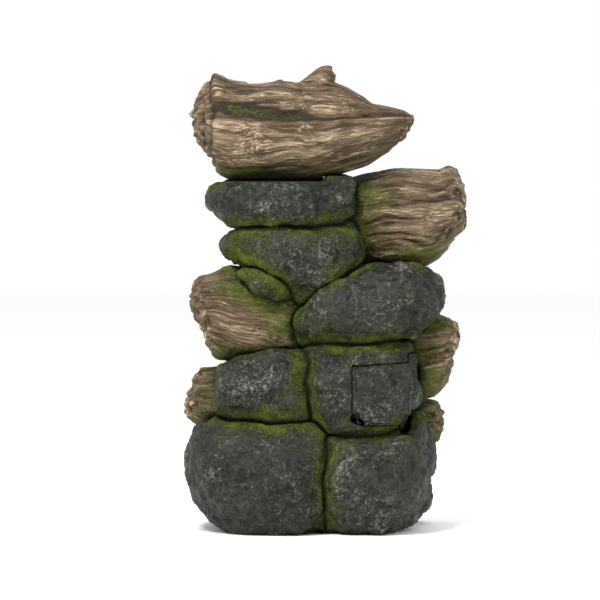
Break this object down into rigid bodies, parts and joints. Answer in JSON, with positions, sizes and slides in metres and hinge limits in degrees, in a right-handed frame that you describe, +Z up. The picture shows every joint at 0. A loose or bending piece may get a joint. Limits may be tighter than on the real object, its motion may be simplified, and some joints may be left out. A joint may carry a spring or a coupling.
{
  "type": "tabletop water fountain",
  "caption": "Cascading tabletop fountain of stacked cast-resin boulders and hollow logs, with a lift-off top log, a rear pump door and a submersible pump in its reservoir.",
  "frame": {"origin": "centre of the bounding box's bottom face, on the surface it stands on", "axes": "+Z up, +Y towards the cascade and basin, -Y towards the pump door, +X to the right as seen from the door side"},
  "size_m": [0.244, 0.184, 0.4],
  "materials": {
    "rock": "matte",
    "log": "matte",
    "door": "matte",
    "pump_body": "satin",
    "pump_cover": "satin",
    "slider": "satin",
    "impeller": "satin",
    "magnet": "satin",
    "shaft": "gloss",
    "rubber": "matte",
    "tube": "satin",
    "pad": "matte"
  },
  "bodies": {
    "stack": {"door_rock": "rock", "log_tier_2": "log", "log_tier_3": "log", "log_tier_4": "log", "log_tier_5": "log", "basin_log": "log", "cap_rock": "rock", "neck_rock": "rock", "oval_rock": "rock", "wedge_rock": "rock", "mid_rock": "rock", "base_rock_left": "rock", "base_rock_right": "rock", "basin_rock_left": "rock", "basin_rock_right": "rock", "pump_housing": "pump_body", "pump_chamber": "pump_cover", "pump_shaft": "shaft", "shaft_bushes": "rubber", "suction_cups": "rubber", "cord_gland": "rubber", "riser_tube": "tube", "base_pads": "pad"},
    "top": {"top_log": "log", "spout_fitting": "pump_cover"},
    "door": {"pump_door": "door"},
    "strainer": {"pump_strainer": "pump_cover"},
    "slider": {"flow_slider": "slider"},
    "rotor": {"impeller": "impeller", "rotor_magnet": "magnet"}
  },
  "joints": [
    {"name": "top_log_lift", "type": "slide", "parent": "stack", "child": "top", "axis": [0, 0, 1], "range_m": [0, 0.08]},
    {"name": "door_pull", "type": "slide", "parent": "stack", "child": "door", "axis": [0, -1, 0], "range_m": [0, 0.06]},
    {"name": "rotor_spin", "type": "hinge", "parent": "stack", "child": "rotor", "pos_m": [0.03, -0.03, 0.029], "axis": [0, 1, 0], "continuous": true},
    {"name": "strainer_pull", "type": "slide", "parent": "stack", "child": "strainer", "axis": [0, -1, 0], "range_m": [0, 0.012]},
    {"name": "flow_adjust", "type": "slide", "parent": "strainer", "child": "slider", "axis": [1, 0, 0], "range_m": [0, 0.018]}
  ]
}
